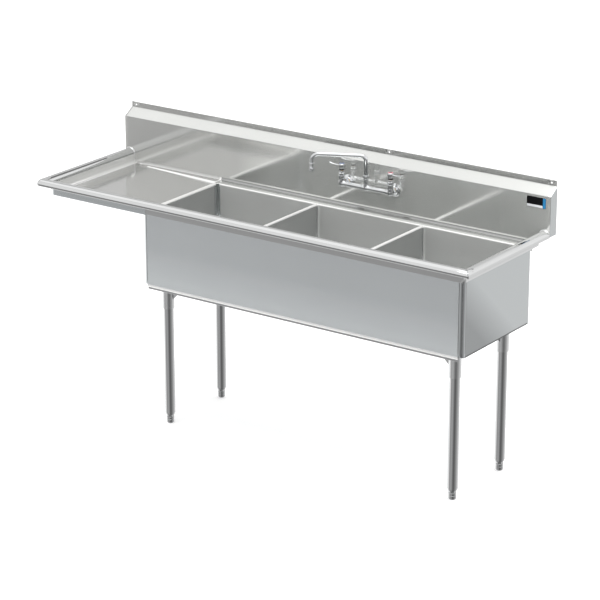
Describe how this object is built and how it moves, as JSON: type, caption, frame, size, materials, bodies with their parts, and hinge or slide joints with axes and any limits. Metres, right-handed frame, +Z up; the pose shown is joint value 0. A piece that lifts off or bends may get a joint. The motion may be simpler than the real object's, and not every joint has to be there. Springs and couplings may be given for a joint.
{
  "type": "three compartment sink",
  "caption": "Stainless restaurant sink on tubular legs: a row of deep bowls, a drainboard at the left end, a raised splash with a swivel-spout faucet, and lift-out drain baskets.",
  "frame": {"origin": "on the floor, under the centre of the sink's length and depth", "axes": "+X to the right along the sink, away from the drainboard; +Y back to the wall; +Z up"},
  "size_m": [1.93, 0.598, 1.082],
  "materials": {
    "sheet_steel": "satin",
    "rim_steel": "satin, brighter",
    "leg_steel": "satin",
    "socket_steel": "dull cast",
    "foot_steel": "satin",
    "chrome": "polished",
    "brass": "machined",
    "black_plastic": "matt",
    "blue_plastic": "gloss",
    "red_plastic": "gloss",
    "label_black": "printed film",
    "rubber": "matt",
    "drain_steel": "spun",
    "zinc": "zinc plated"
  },
  "bodies": {
    "sink": {"backsplash": "sheet_steel", "divider_left": "sheet_steel", "divider_right": "sheet_steel", "drain_gaskets": "rubber", "drain_nuts": "zinc", "drainboard_pan": "sheet_steel", "faucet_body": "chrome", "front_rim": "rim_steel", "inlet_nuts": "chrome", "label": "label_black", "left_rim": "rim_steel", "leg_inserts": "zinc", "leg_set_screws": "zinc", "leg_socket_back_left": "socket_steel", "leg_socket_back_right": "socket_steel", "leg_socket_front_left": "socket_steel", "leg_socket_front_right": "socket_steel", "leg_tube_back_left": "leg_steel", "leg_tube_back_right": "leg_steel", "leg_tube_front_left": "leg_steel", "leg_tube_front_right": "leg_steel", "right_rim": "rim_steel", "shank_nuts": "brass", "splash_cap_left": "sheet_steel", "splash_cap_right": "sheet_steel", "strainer_body_left": "drain_steel", "strainer_body_middle": "drain_steel", "strainer_body_right": "drain_steel", "supply_shanks": "brass", "swing_nut": "chrome", "tub_back": "sheet_steel", "tub_bottom": "sheet_steel", "tub_corners": "sheet_steel", "tub_front": "sheet_steel", "tub_left_end": "sheet_steel", "tub_right_end": "sheet_steel", "valve_bonnets": "chrome", "wall_flanges": "chrome"},
    "spout": {"spout": "chrome", "spout_tip": "chrome"},
    "left_handle": {"lever_handle_left": "chrome", "index_button_left": "blue_plastic", "handle_collar_left": "black_plastic", "valve_stem_left": "brass"},
    "right_handle": {"lever_handle_right": "chrome", "index_button_right": "red_plastic", "handle_collar_right": "black_plastic", "valve_stem_right": "brass"},
    "basket_left": {"basket_left": "drain_steel", "basket_stopper_left": "rubber"},
    "basket_middle": {"basket_middle": "drain_steel", "basket_stopper_middle": "rubber"},
    "basket_right": {"basket_right": "drain_steel", "basket_stopper_right": "rubber"},
    "foot_front_left": {"foot_front_left": "foot_steel"},
    "foot_back_left": {"foot_back_left": "foot_steel"},
    "foot_front_right": {"foot_front_right": "foot_steel"},
    "foot_back_right": {"foot_back_right": "foot_steel"}
  },
  "joints": [
    {"name": "spout_swivel", "type": "hinge", "parent": "sink", "child": "spout", "pos_m": [0.204, 0.216, 0.987], "axis": [0, 0, 1], "range_deg": [-33, 161]},
    {"name": "left_handle_turn", "type": "hinge", "parent": "sink", "child": "left_handle", "pos_m": [0.096, 0.216, 1.007], "axis": [0, 0, 1], "range_deg": [0, 90]},
    {"name": "right_handle_turn", "type": "hinge", "parent": "sink", "child": "right_handle", "pos_m": [0.312, 0.216, 1.007], "axis": [0, 0, 1], "range_deg": [-90, 0]},
    {"name": "basket_left_lift", "type": "slide", "parent": "sink", "child": "basket_left", "axis": [0, 0, 1], "range_m": [0, 0.4]},
    {"name": "basket_middle_lift", "type": "slide", "parent": "sink", "child": "basket_middle", "axis": [0, 0, 1], "range_m": [0, 0.4]},
    {"name": "basket_right_lift", "type": "slide", "parent": "sink", "child": "basket_right", "axis": [0, 0, 1], "range_m": [0, 0.4]},
    {"name": "foot_front_left_height", "type": "slide", "parent": "sink", "child": "foot_front_left", "axis": [0, 0, -1], "range_m": [0, 0.025]},
    {"name": "foot_back_left_height", "type": "slide", "parent": "sink", "child": "foot_back_left", "axis": [0, 0, -1], "range_m": [0, 0.025]},
    {"name": "foot_front_right_height", "type": "slide", "parent": "sink", "child": "foot_front_right", "axis": [0, 0, -1], "range_m": [0, 0.025]},
    {"name": "foot_back_right_height", "type": "slide", "parent": "sink", "child": "foot_back_right", "axis": [0, 0, -1], "range_m": [0, 0.025]}
  ]
}
